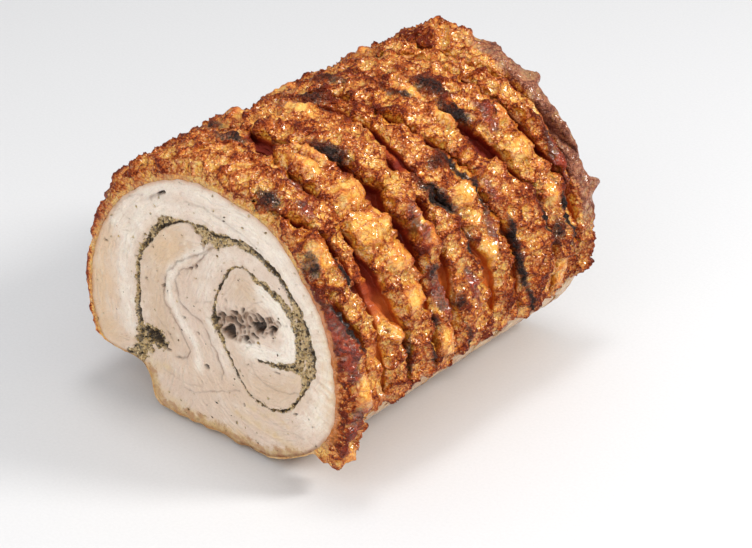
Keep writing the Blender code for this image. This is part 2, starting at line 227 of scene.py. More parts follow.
FAT = (
    (0.9, 2.6, ((-5, 97), (-14, 91), (-22, 83), (-27, 74), (-27, 65), (-22, 56), (-14, 49),
        (-10, 42), (-10, 34))),
    (0.8, 6, ((-53, 40), (-55, 55), (-56, 72), (-53, 86), (-45, 99), (-33, 109), (-15, 114),
        (5, 115), (25, 112), (42, 104), (54, 92), (63, 78), (67, 62), (65, 46), (58, 32))),
    (0.7, 3.5, ((-62, 90), (-52, 106), (-35, 118), (-15, 124), (5, 124), (25, 119), (42, 111))),
    (1.4, 4.6, ((30, 88), (38, 83), (44, 75), (46, 67), (43, 60), (34, 57), (22, 56))),
    (0.5, 4, ((-4, 64), (-1, 56), (4, 46), (8, 38))),
    (0.4, 5, ((-5, 78), (-2, 90), (10, 100), (24, 100))),
)
# Rounded areas, as (strength, (x, z, half width, half height, turn)).
BEIGE = (
    (1, (-37, 60, 9, 16, 4)), (1, (-34, 84, 9, 13, -32)), (0.9, (-18, 97, 9, 8, -25)),
    (0.9, (-30, 44, 8, 9, 35)), (1, (19, 85, 9, 9, -20)), (0.7, (27, 38, 16, 8, 8)),
    (0.8, (44, 44, 10, 9, 50)), (0.5, (12, 52, 5, 8, 20)), (0.6, (53, 70, 4, 14, 0)),
)
TAN = (
    (1, (-78, 52, 12, 20, 0)), (0.8, (-68, 32, 12, 9, -10)), (0.5, (-68, 62, 10, 16, 0)),
    (0.5, (60, 14, 12, 5, 15)), (0.6, (-67, 84, 9, 14, -20)), (0.9, (-28, 90, 11, 13, -30)),
    (0.9, (70, 64, 6, 24, 0)), (0.25, (0, 30, 40, 14, 0)),
)
YELLOW = (
    (0.9, 2.2, ((12, 19), (22, 18), (34, 17), (46, 15))),
    (0.8, 1.6, ((20, 26), (30, 24), (36, 27), (44, 24))),
    (0.9, 3, ((-44, 20), (-36, 13), (-26, 9), (-12, 7), (4, 7), (14, 8))),
    (0.7, 3.5, ((-50, 34), (-45, 28), (-38, 24), (-30, 26))),
    (0.5, 2.4, ((52, 82), (56, 70), (55, 58), (50, 50))),
    (0.4, 6, ((62, 92), (68, 74), (69, 54), (64, 36))),
)
WEB = (
    (1, (10, 64, 10.5, 8, 0)), (1, (23, 69, 11, 6.8, 12)), (0.9, (34, 73, 7, 3.2, 12)),
)
# Holes and dark spots, as (depth, (x, z, half width, half height, turn)). Their dark colour is
# painted shade.
PITS = (
    (4.5, (-37.5, 39.5, 5.6, 3.8, -20)), (2, (-31, 36.5, 4, 1.5, -22)),
    (4.2, (27, 69.5, 5, 3.8, 15)), (4.2, (10, 60, 5.6, 3, 12)), (2.5, (36, 72, 3.6, 1.4, 12)),
    (2.6, (-30.5, 117, 4.6, 1, 28)), (3, (-31.5, 69, 1.4, 1.2, 20)),
    (2.8, (-10, 86.5, 1.7, 0.8, 30)), (2.8, (-13.5, 84.8, 1.7, 0.8, 20)),
    (1.8, (-19, 57.3, 1.5, 0.8, 10)), (1.7, (-9.5, 52.7, 0.9, 0.9, 0)),
    (2, (-5, 35.8, 2.2, 1.7, -20)), (1.6, (18, 25, 0.8, 1, 10)), (1.6, (-68, 80, 1.4, 0.7, 10)),
    (1.6, (-42, 69, 0.7, 1, 0)), (1.6, (38, 50, 2.4, 0.8, 10)), (1.6, (49, 32.5, 2, 0.8, 40)),
)
# Holes deeper than this are pockets of filling with dark herbs.
HERB_POCKET_DEPTH = 4.3


# ------------------------------------------------------------------ number helpers

def smooth(low, high, value):
    """0 below low, 1 above high, and a smooth step between."""
    t = np.clip((value - low) / (high - low), 0, 1)
    return t * t * (3 - 2 * t)


def mix(a, b, share):
    return a + (b - a) * share


def bell(distance, width):
    return np.exp(-((distance / width) ** 2))


def turn_between(angle, centre):
    """The signed turn from centre to angle, between -180 and 180."""
    return (angle - centre + 180) % 360 - 180


def round_curve(knots, angle):
    """Smooth values at these angles, through (angle, value) knots that go once round."""
    places, values = np.array(knots, float).T
    angle = places[0] + (np.asarray(angle, float) - places[0]) % 360
    index = np.searchsorted(places, angle, side="right") - 1

    def knot(i):
        turns, place = np.divmod(i, len(places))
        return places[place] + 360 * turns, values[place]

    (a0, v0), (a1, v1), (a2, v2), (a3, v3) = (knot(index + i) for i in (-1, 0, 1, 2))
    span = a2 - a1
    t = (angle - a1) / span
    start_slope = (v2 - v0) / (a2 - a0) * span
    end_slope = (v3 - v1) / (a3 - a1) * span
    return (
        (2 * t**3 - 3 * t**2 + 1) * v1
        + (t**3 - 2 * t**2 + t) * start_slope
        + (3 * t**2 - 2 * t**3) * v2
        + (t**3 - t**2) * end_slope
    )


def scramble(ix, iy, iz, seed):
    """Repeatable random numbers from 0 to 1 for whole-number places."""
    mixed = ix.astype(np.uint32) * np.uint32(73856093)
    mixed = mixed ^ (iy.astype(np.uint32) * np.uint32(19349663))
    mixed = mixed ^ (iz.astype(np.uint32) * np.uint32(83492791))
    mixed = mixed ^ np.uint32((seed * 2654435761) % 2**32)
    mixed = (mixed ^ (mixed >> np.uint32(16))) * np.uint32(0x7FEB352D)
    mixed = (mixed ^ (mixed >> np.uint32(15))) * np.uint32(0x846CA68B)
    mixed = mixed ^ (mixed >> np.uint32(16))
    return mixed.astype(np.float64) / 2**32


def noise(points, size, seed):
    """Smooth gradient noise, about -1 to 1, with features of this size in millimetres."""
    place = np.asarray(points, float) / size
    base = np.floor(place).astype(np.int64)
    part = place - base
    fade = part * part * part * (part * (part * 6 - 15) + 10)
    total = np.zeros(place.shape[:-1])
    for dz, dy, dx in itertools.product((0, 1), repeat=3):
        step = np.array([dx, dy, dz])
        cell = base + step
        weight = np.ones(total.shape)
        slope = np.zeros(total.shape)
        for axis in range(3):
            share = fade[..., axis]
            weight = weight * (share if step[axis] else 1 - share)
            pull = scramble(cell[..., 0], cell[..., 1], cell[..., 2], seed * 3 + axis) * 2 - 1
            slope = slope + pull * (part[..., axis] - step[axis])
        total = total + weight * slope
    return total * 1.6


def layered_noise(points, size, seed, octaves=3):
    layers = (noise(points, size / 2**i, seed + i) / 2**i for i in range(octaves))
    return sum(layers) / 1.6


def bubbles(points, size, seed):
    """Round domes packed together: their height 0 to 1, how near a crease is, and a number
    that is the same all over one dome."""
    place = np.asarray(points, float) / size
    base = np.floor(place).astype(np.int64)
    nearest = np.full(place.shape[:-1], 9.0)
    second = nearest.copy()
    owner = np.zeros(nearest.shape)
    for shift in itertools.product((-1, 0, 1), repeat=3):
        cell = [base[..., axis] + shift[axis] for axis in range(3)]
        gap = np.zeros(nearest.shape)
        for axis in range(3):
            spot = cell[axis] + 0.1 + 0.8 * scramble(*cell, seed * 5 + axis)
            gap = gap + (place[..., axis] - spot) ** 2
        mark = scramble(*cell, seed * 5 + 3)
        gap = np.sqrt(gap) * (0.8 + 0.5 * mark)
        closer = gap < nearest
        second = np.where(closer, nearest, np.minimum(second, gap))
        owner = np.where(closer, mark, owner)
        nearest = np.where(closer, gap, nearest)
    dome = np.clip(1 - (nearest / 0.85) ** 2, 0, 1)
    crease = 1 - smooth(0.0, 0.22, second - nearest)
    return dome, crease, owner


# ------------------------------------------------------------------ crackling

# Columns of the grid, fine on the right and top: (first angle, last angle, how many).
COLUMN_SPANS = ((-46, 112, 352), (112, 214, 148), (214, 314, 70))
ANGLES = np.concatenate([np.linspace(*span, endpoint=False) for span in COLUMN_SPANS])
COLUMNS = len(ANGLES)
TURNS = np.radians(ANGLES)
AROUND = np.stack([75 * np.cos(TURNS), 0 * TURNS, 75 * np.sin(TURNS)], -1)
MEAT = round_curve(MEAT_RADIUS, ANGLES)
CRUST_HEIGHT = round_curve(CRUST, ANGLES)
# The same angles, counted from -90 below to 270.
SIGNED = (ANGLES + 90) % 360 - 90


def cover(stations):
    """1 under the rind and 0 on the bare underside. Past the loose corner the rind's lower
    right edge lies higher, and it wanders."""
    along = np.stack([0 * stations, stations, 0 * stations], -1)
    start = RIND_START + RIND_RISE * smooth(9, 20, stations) + 3.5 * noise(along, 14, 17)
    return smooth(-RIND_EDGE, RIND_EDGE, np.minimum(SIGNED - start, RIND_END - SIGNED))


def beside(line):
    """Points for noise that runs round the roll and differs for each score line."""
    return AROUND + np.array([0, 37.0 * line, 0])


def score_line(line):
    station = round_curve(tuple(zip(SCORE_ANGLES, SCORE_LINES[line])), ANGLES)
    wander = 1.5 * noise(beside(line), 16, 11) + 0.7 * noise(beside(line), 5, 12)
    return station + wander


def fading(line):
    """How far a cut has died out because it nears a sliced end."""
    station = STATIONS[line]
    return 1 - smooth(0, 7, np.minimum(station, LENGTH - station))


def half_gape(line):
    width = CLOSED_GAPE + 0.35 * (1 + noise(beside(line), 9, 13))
    for where, centre, spread, half in GAPES:
        if where == line:
            width = width + half * bell(turn_between(ANGLES, centre), spread)
    width = width * (1 - 0.7 * fading(line))
    rough = 1 + 0.35 * noise(beside(line), 7, 14) + 0.2 * noise(beside(line), 3, 15)
    return np.maximum(width * rough, 0.25)


STATIONS = [score_line(line) for line in range(len(SCORE_LINES))]
HALF_GAPES = [half_gape(line) for line in range(len(SCORE_LINES))]


def floor_height(line):
    """How high the bottom of a cut lies: shallow where the cut has stayed shut."""
    shut = 1 - smooth(0.5, 2.0, HALF_GAPES[line])
    floor = np.minimum(CRUST_FLOOR, 0.35 * CRUST_HEIGHT) + shut * CRUST_HEIGHT * 0.16
    return mix(floor, 0.85 * CRUST_HEIGHT, fading(line))


def band_profile(band):
    """One band from the middle of the cut before it to the middle of the next, as
    (stations, heights) arrays with a row for each point of the profile."""
    start, end = STATIONS[band], STATIONS[band + 1]
    near, far = start + HALF_GAPES[band], end - HALF_GAPES[band + 1]
    middle, half = (near + far) / 2, np.maximum((far - near) / 2, 1.5)
    wave = 1 + 0.16 * noise(beside(band) + 500, 22, 21) + 0.10 * noise(beside(band) + 500, 9, 22)
    top = CRUST_HEIGHT * (1 + BAND_SWELL[band] / 11) * wave
    top = top * smooth(1.0, 7.0, half) ** 0.35
    lean = 0.18 * noise(beside(band) + 900, 30, 23)
    rows = []
    for angle in np.linspace(-30, 210, 61):
        c, s = math.cos(math.radians(angle)), math.sin(math.radians(angle))
        across = middle - half * math.copysign(abs(c) ** 0.55, c)
        share = (across - near) / (2 * half)
        floor = mix(floor_height(band), floor_height(band + 1), np.clip(share, 0, 1))
        waist = mix(floor, top, 0.42)
        if s > 0:
            height = mix(waist, top, s**0.62)
        else:
            height = mix(waist, floor, (abs(s) / 0.5) ** 0.8)
        rows.append((across + lean * (height - floor), height))
    rows.insert(0, (start, floor_height(band)))
    rows.append((end, floor_height(band + 1)))
    return tuple(np.stack(parts) for parts in zip(*rows))


def cut_before(line, limit):
    """The part of a profile after it last crosses this station."""
    last = np.nonzero(line[0] <= limit)[0].max()
    t = (limit - line[0, last]) / (line[0, last + 1] - line[0, last])
    first = line[:, last] + t * (line[:, last + 1] - line[:, last])
    first[0] = limit
    return np.concatenate([first[:, None], line[:, last + 1 :]], axis=1)


def evenly(profile, count, low=None, high=None):
    """The profile's columns, cut off before low or past high, with rows evenly spaced."""
    mirror = np.array([[-1], [1]])
    made = np.zeros((count, 2, COLUMNS))
    for column in range(COLUMNS):
        line = np.stack([part[:, column] for part in profile])
        if low is not None:
            line = cut_before(line, low)
        if high is not None:
            line = cut_before(line[:, ::-1] * mirror, -high)[:, ::-1] * mirror
        steps = np.hypot(np.diff(line[0]), np.diff(line[1]))
        along = np.concatenate([[0], np.cumsum(steps)])
        wanted = np.linspace(0, along[-1], count)
        for part in range(2):
            made[:, part, column] = np.interp(wanted, along, line[part])
    return made


def joined(bands):
    profiles = [band_profile(band) for band in bands]
    return tuple(np.concatenate(parts) for parts in zip(*profiles))


def positions(stations, heights, inset=0.0):
    """Points in millimetres: Y still counts from the near face."""
    radius = MEAT + cover(stations) * heights - inset
    x = radius * np.cos(TURNS)
    z = AXIS_HEIGHT + radius * np.sin(TURNS)
    return np.stack([x, stations, z], -1)


def normals_of(points):
    down = np.gradient(points, axis=0)
    across = (np.roll(points, -1, 1) - np.roll(points, 1, 1)) / 2
    normal = np.cross(across, down)
    return normal / np.maximum(np.linalg.norm(normal, axis=-1, keepdims=True), 1e-9)


def bulb_field(stations):
    """The height and the smoothness that the large blisters give."""
    height = np.zeros(stations.shape)
    calm = np.zeros(stations.shape)
    uneven = 0.22 * noise(positions(stations, 0 * stations), 6, 29)
    for angle, station, around, along, tall in BULBS:
        dx = np.radians(turn_between(ANGLES, angle)) * 78 / around
        dy = (stations - station) / along
        reach = np.sqrt(dx**2 + dy**2) + uneven
        height = height + tall * np.clip(1 - reach**2, 0, 1) ** 0.7
        calm = np.maximum(calm, 1 - smooth(0.5, 1.1, reach))
    return height, calm


def broad_field(table, stations):
    """The sum of soft hills: (angle, station, spread in degrees, spread along, height)."""
    total = np.zeros(stations.shape)
    for angle, station, wide, long, tall in table:
        dx = turn_between(ANGLES, angle) / wide
        dy = (stations - station) / long
        total = total + tall * np.exp(-((dx**2 + dy**2) ** 1.5))
    return total


def streak_field(table, points, stations):
    """Ragged streaks, 1 in the middle and 0 outside."""
    total = np.zeros(stations.shape)
    ragged = 0.45 * layered_noise(points, 7, 41)
    for angle, station, wide, long, drift, strength in table:
        turn = turn_between(ANGLES, angle)
        reach = np.hypot(turn / wide, (stations - station - drift * turn) / long)
        total = np.maximum(total, strength * (1 - smooth(0.2, 1.7, reach + ragged)))
    return total


# The thick lower right rind beside the near sliced face.
LEDGE = smooth(-34, -22, SIGNED) * (1 - smooth(28, 44, SIGNED))
# Where the last cut and the torn skin past it go round the far end.
LAST_CUT_INSET = 9
LAST_CUT_SIDE = smooth(8, 22, SIGNED) * (1 - smooth(60, 78, SIGNED))
TORN_SIDE = smooth(-5, 12, SIGNED) * (1 - smooth(75, 95, SIGNED))
# How far past the sliced faces the blisters may reach.
NEAR_REACH = 2.0
FAR_REACH = 11.0


def shoulder(distance, length):
    """A quarter circle from 0 at a sliced end to 1 this far in."""
    return np.sqrt(1 - (1 - np.clip(distance / length, 0, 1)) ** 2)


def settled(stations, heights, proud):
    """Heights with the broad swells, the last cut, the rounded ends and the loose corner, and
    how deep the last cut is."""
    heights = heights + broad_field(HEAPS, stations) * np.clip(proud, 0, 1)
    wander = noise(positions(stations, heights), 12, 26)
    cut = bell(stations - LENGTH + LAST_CUT_INSET - wander, 1.6) * LAST_CUT_SIDE
    heights = np.maximum(heights * (1 - 0.6 * cut), 0.4)
    heights = heights * mix(0.5 - 0.1 * LEDGE, 1, shoulder(stations, 7))
    heights = heights * mix(0.75, 1, shoulder(LENGTH - stations, 4))
    flap = bell(turn_between(ANGLES, FLAP_ANGLE), FLAP_SPREAD) * (1 - smooth(10, 22, stations))
    uneven = 0.8 + 0.3 * noise(positions(stations, heights), 7, 27)
    return heights + FLAP_HEIGHT * flap * uneven, cut


def cut_edge(layers, plane):
    """Adds rows in the sliced plane, from the meat's outline out to the first row."""
    stations, heights, proud, inset, cut = layers
    shares = np.linspace(0, 1, EDGE_ROWS, endpoint=False)[:, None]
    rows = np.full((EDGE_ROWS, COLUMNS), float(plane))
    wobble = np.clip(0.5 * noise(beside(3) + 100, 4, 61), -0.5, 0.5) * cover(rows)
    return (
        np.concatenate([rows, stations]),
        np.concatenate([np.maximum(shares * heights[0], 0), heights]),
        np.concatenate([shares * proud[0], proud]),
        np.concatenate([(0.8 + wobble) * (1 - shares) + 0.001, inset]),
        np.concatenate([0 * rows, cut]),
    )


def crackle(profile, near_end=False, far_end=False):
    """Blistered points and the colour fields for one stretch of the roll. At a sliced end the
    first or last rows run down the cut edge of the rind to the meat."""
    stations, heights = profile[:, 0], profile[:, 1]
    proud = heights / np.maximum(CRUST_HEIGHT, 1)
    heights, cut = settled(stations, heights, proud)
    layers = (stations, heights, proud, 0 * stations, cut)
    if near_end:
        layers = cut_edge(layers, 0)
    if far_end:
        layers = [part[::-1] for part in cut_edge([part[::-1] for part in layers], LENGTH)]
    stations, heights, proud, inset, cut = layers
    on_edge = inset > 0
    covered = cover(stations)
    tips = sum(tall * bell(turn_between(ANGLES, angle), wide) for angle, wide, tall in TIPS)
    hanging = smooth(-9, 0, stations - LENGTH) * smooth(0, 0.7, proud)
    stations = stations + (FAR_LIP + tips) * hanging * covered
    base = positions(stations, heights, inset)
    crown = np.where(on_edge, smooth(0.25, 0.7, proud), smooth(0.35, 0.85, proud)) * covered
    bulb, calm = bulb_field(stations)
    calm = calm * crown
    points = positions(stations, heights + bulb * crown * ~on_edge, inset)

    bent = base + 1.0 * np.stack([noise(base, 4, 28 + i) for i in range(3)], -1)
    lump, lump_crease, owner = bubbles(bent, 10.0, 30)
    medium, medium_crease, _ = bubbles(bent, 4.8, 32)
    small, small_crease, _ = bubbles(bent, 2.6, 33)
    fine, _, _ = bubbles(base, 1.6, 34)
    patchy = smooth(-0.4, 0.4, noise(base, 18, 35))
    beyond = stations - LENGTH
    torn = smooth(-17, -9, beyond) * covered * TORN_SIDE
    lift = (
        (0.8 + 0.7 * smooth(60, 95, SIGNED)) * noise(base, 15, 31)
        + mix(1.5, 2.7, patchy) * (lump - 0.5)
        + mix(2.0, 1.5, patchy) * (medium - 0.5)
        + 0.65 * (small - 0.5)
        + 0.2 * (fine - 0.5)
        - 1.1 * lump_crease - 0.75 * medium_crease
    ) * crown * (1 - 0.35 * calm)
    lift = lift * (1 - 0.7 * torn)
    lift = lift * (1 - 0.65 * smooth(145, 175, SIGNED) * (1 - smooth(4, 16, stations)))
    bare = 1 - covered
    lift = lift + bare * (0.5 * noise(base, 7, 36) + 0.25 * noise(base, 2.6, 37))
    lift = lift + (1 - crown) * covered * 0.35 * noise(base, 5, 38)
    points = points + normals_of(points) * lift[..., None]
    points[..., 1] = np.clip(points[..., 1], -NEAR_REACH, LENGTH + FAR_REACH)
    ground = 3.5 * (1 - smooth(0, 10, stations)) * (1 + 0.6 * noise(base, 9, 44))
    points[..., 2] = np.maximum(points[..., 2], ground)

    skin_grain = np.maximum(crown, on_edge * covered)
    # Painted shade: how far into a crease between the lumps each point lies. The skin darkens its
    # colour by this, standing in for shade.
    crease = np.maximum(np.maximum(lump_crease, 0.75 * medium_crease), 0.45 * small_crease)
    crease = crease * crown * (1 - 0.35 * calm)
    stray = smooth(0.35, 0.8, layered_noise(base, 15, 43)) * 0.35
    char = np.maximum(streak_field(CHARS, base, stations), stray) * mix(0.5, 1, crown) * covered
    gap = np.maximum(1 - smooth(0.4, 0.78, proud), smooth(0.4, 0.8, cut)) * covered * ~on_edge
    # Painted light and shade: the tops of the lumps are made paler and their hollows darker, as light
    # would fall on them.
    painted_dome_light = 0.30 * (lump - 0.5) + 0.32 * (medium - 0.5) + 0.24 * (small - 0.5)
    tone = 0.80 + 0.20 * layered_noise(base, 20, 51) + painted_dome_light * (1 - 0.3 * calm)
    tone = tone + 0.45 * broad_field(TONES, stations) + 0.03 * calm + 0.12 * (owner - 0.5)
    tone = tone - 0.22 * LEDGE * (1 - smooth(1, 7, stations)) + 0.3 * (skin_grain - 0.85)
    amber = 0.12 + 0.85 * (1 - smooth(2, 36, SIGNED)) + 0.2 * noise(base, 9, 52)
    rim_start = mix(0.62, 0.22, LEDGE)
    rim = smooth(rim_start - 0.15, rim_start + 0.15, inset) * covered * mix(0.45, 1, LEDGE)
    glaze = streak_field(GLAZES, base, stations) * covered
    return points, {
        "skin": (mix(tone, amber, gap), char, gap, bare),
        "skin_detail": (crease, calm, rim, skin_grain),
        "skin_glaze": (glaze, torn * smooth(-8, -6, beyond), LEDGE + 0 * glaze, 0 * glaze + 1),
    }


# ------------------------------------------------------------------ meshes

def make_mesh(name, points, faces, fields):
    """A mesh object from points in millimetres, lists of faces and colour fields."""
    mesh = bpy.data.meshes.new(name)
    located = (points - np.array([0, LENGTH / 2, 0])) * METRE
    mesh.vertices.add(len(located))
    mesh.vertices.foreach_set("co", located.astype(np.float32).ravel())
    sizes = np.concatenate([np.full(len(block), block.shape[1]) for block in faces])
    corners = np.concatenate([block.ravel() for block in faces])
    mesh.loops.add(len(corners))
    mesh.loops.foreach_set("vertex_index", corners.astype(np.int32))
    mesh.polygons.add(len(sizes))
    starts = np.concatenate([[0], np.cumsum(sizes)[:-1]])
    mesh.polygons.foreach_set("loop_start", starts.astype(np.int32))
    mesh.polygons.foreach_set("use_smooth", np.ones(len(sizes), bool))
    mesh.update(calc_edges=True)
    mesh.validate()
    for key, parts in fields.items():
        layer = mesh.attributes.new(key, "FLOAT_COLOR", "POINT")
        values = np.stack([np.clip(part, 0, 1).ravel() for part in parts], -1)
        layer.data.foreach_set("color", values.astype(np.float32).ravel())
    obj = bpy.data.objects.new(name, mesh)
    bpy.context.scene.collection.objects.link(obj)
    return obj


def pocketed(points, fields, row, station):
    """The grid with the wall of a pocket for the sliced meat added at one end, and the
    pocket's outline."""
    outline = points[row]
    wall = outline[None].copy()
    wall[..., 1] = station
    order = slice(None) if row == 0 else slice(None, None, -1)
    points = np.concatenate([wall, points][order])
    grown = {
        key: [np.concatenate([part[[row]], part][order]) for part in parts]
        for key, parts in fields.items()
    }
    return points, grown, np.hypot(outline[:, 0], outline[:, 2] - AXIS_HEIGHT)


def stretch(name, profile, near_end=False, far_end=False):
    """One closed length of the roll, and the outline of its pocket if it has one. Its ends are
    caps inside the roast or pockets for the sliced meat."""
    points, fields = crackle(profile, near_end, far_end)
    outline = None
    if near_end:
        points, fields, outline = pocketed(points, fields, 0, POCKET_DEPTH)
    if far_end:
        points, fields, outline = pocketed(points, fields, -1, LENGTH - POCKET_DEPTH)
    index = np.arange(len(points) * COLUMNS).reshape(-1, COLUMNS)
    ahead = np.roll(index, -1, 1)
    quads = np.stack([index[:-1], ahead[:-1], ahead[1:], index[1:]], -1).reshape(-1, 4)
    faces = [quads, index[0, ::-1][None], index[-1][None]]
    return make_mesh(name, points.reshape(-1, 3), faces, fields), outline


def build_crackling():
    """The three lengths of the roll, which meet in cuts, and the outlines of both pockets."""
    first = evenly(joined((0, 1, 2)), 114, low=0)
    front = np.concatenate([first, evenly(band_profile(3), 50)[1:]])
    middle = np.concatenate([evenly(band_profile(band), 44)[(band > 4):] for band in (4, 5, 6, 7)])
    last = evenly(joined((9, 10, 11)), 110, high=LENGTH)
    back = np.concatenate([evenly(band_profile(8), 56), last[1:]])
    near, near_outline = stretch("roast_near", front, near_end=True)
    centre, _ = stretch("roast_middle", middle)
    far, far_outline = stretch("roast_far", back, far_end=True)
    return (near, centre, far), near_outline, far_outline


# ------------------------------------------------------------------ materials

class Value:
    """A number in a material. It takes +, - and * with numbers and other values."""

    def __init__(self, tree, socket):
        self.tree = tree
        self.socket = socket

    def __add__(self, other):
        return self.tree.math("ADD", self, other)

    def __sub__(self, other):
        return self.tree.math("SUBTRACT", self, other)

    def __rsub__(self, other):
        return self.tree.math("SUBTRACT", other, self)

    def __mul__(self, other):
        return self.tree.math("MULTIPLY", self, other)

    __radd__ = __add__
    __rmul__ = __mul__


class Tree:
    """A short way to write a material's nodes."""

    def __init__(self, name):
        self.material = bpy.data.materials.new(name)
        self.material.use_nodes = True
        self.nodes = self.material.node_tree.nodes
        self.links = self.material.node_tree.links
        self.shader = self.nodes["Principled BSDF"]

    def put(self, node, inputs):
        for key, value in inputs.items():
            socket = node.inputs[key]
            value = value.socket if isinstance(value, Value) else value
            if isinstance(value, bpy.types.NodeSocket):
                self.links.new(value, socket)
            elif socket.type == "RGBA":
                socket.default_value = (*value, 1)
            else:
                socket.default_value = value
        return node

    def add(self, kind, inputs, **settings):
        node = self.nodes.new("ShaderNode" + kind)
        for key, value in settings.items():
            setattr(node, key, value)
        return self.put(node, inputs)

    def finish(self, inputs):
        self.put(self.shader, inputs)
        return self.material

    def attribute(self, name):
        """The four numbers of a colour field."""
        found = self.add("Attribute", {}, attribute_name=name)
        parts = self.add("SeparateColor", {0: found.outputs["Color"]})
        return [Value(self, socket) for socket in (*parts.outputs, found.outputs["Alpha"])]

    def math(self, operation, a, b, clamp=False):
        node = self.add("Math", {0: a, 1: b}, operation=operation, use_clamp=clamp)
        return Value(self, node.outputs[0])

    def clamped(self, value):
        """The value held between 0 and 1."""
        return self.math("ADD", value, 0.0, clamp=True)

    def step(self, value, low, high):
        """0 up to low, 1 from high on. With high below low it runs the other way."""
        limits = {"Value": value, "From Min": min(low, high), "From Max": max(low, high)}
        limits.update({"To Min": float(high < low), "To Max": float(high >= low)})
        node = self.add("MapRange", limits, interpolation_type="SMOOTHSTEP")
        return Value(self, node.outputs["Result"])

    def blend(self, share, a, b, how="MIX"):
        """Colour a with this share of colour b."""
        node = self.add("Mix", {}, data_type="RGBA", blend_type=how)
        first, second = [i for i, socket in enumerate(node.inputs) if socket.type == "RGBA"]
        self.put(node, {"Factor": share, first: a, second: b})
        return [socket for socket in node.outputs if socket.type == "RGBA"][0]

    def ramp(self, value, stops):
        node = self.add("ValToRGB", {"Fac": value})
        elements = node.color_ramp.elements
        while len(elements) < len(stops):
            elements.new(0.5)
        for element, (place, colour) in zip(elements, stops):
            element.position = place
            element.color = (*colour, 1)
        return node.outputs["Color"]

    def place(self):
        return self.add("TexCoord", {}).outputs["Object"]

    def noise(self, size, detail=3.0, rough=0.55):
        """Noise with features of this size in millimetres."""
        inputs = {"Scale": 1 / (size * METRE), "Detail": detail, "Roughness": rough}
        node = self.add("TexNoise", {"Vector": self.place(), **inputs})
        return Value(self, node.outputs["Fac"])

    def bent_cells(self, size, feature):
        """Cells of this size in millimetres, with their pattern bent so that none is regular."""
        where, scale = self.place(), 1 / (size * METRE)
        swirl = self.add("TexNoise", {"Vector": where, "Scale": 0.7 * scale, "Detail": 2.0})
        reach = {0: swirl.outputs["Color"], "Scale": 0.8 / scale}
        shift = self.add("VectorMath", reach, operation="SCALE").outputs[0]
        bent = self.add("VectorMath", {0: where, 1: shift}, operation="ADD").outputs[0]
        return self.add("TexVoronoi", {"Vector": bent, "Scale": scale}, feature=feature)

    def cells(self, size):
        """Distance from the middle of each cell, and a number that is the same all over it."""
        node = self.bent_cells(size, "F1")
        pick = self.add("SeparateColor", {0: node.outputs["Color"]}).outputs[0]
        return Value(self, node.outputs["Distance"]), Value(self, pick)

    def cracks(self, size):
        """Distance from the border between cells."""
        return Value(self, self.bent_cells(size, "DISTANCE_TO_EDGE").outputs["Distance"])

    def bump(self, height, distance):
        node = self.add("Bump", {"Height": height, "Distance": distance * METRE, "Strength": 1.0})
        return node.outputs["Normal"]


def srgb(red, green, blue):
    """A colour written as 0 to 255, as linear light."""
    parts = np.array([red, green, blue]) / 255
    linear = np.where(parts <= 0.04045, parts / 12.92, ((parts + 0.055) / 1.055) ** 2.4)
    return tuple(float(value) for value in linear)


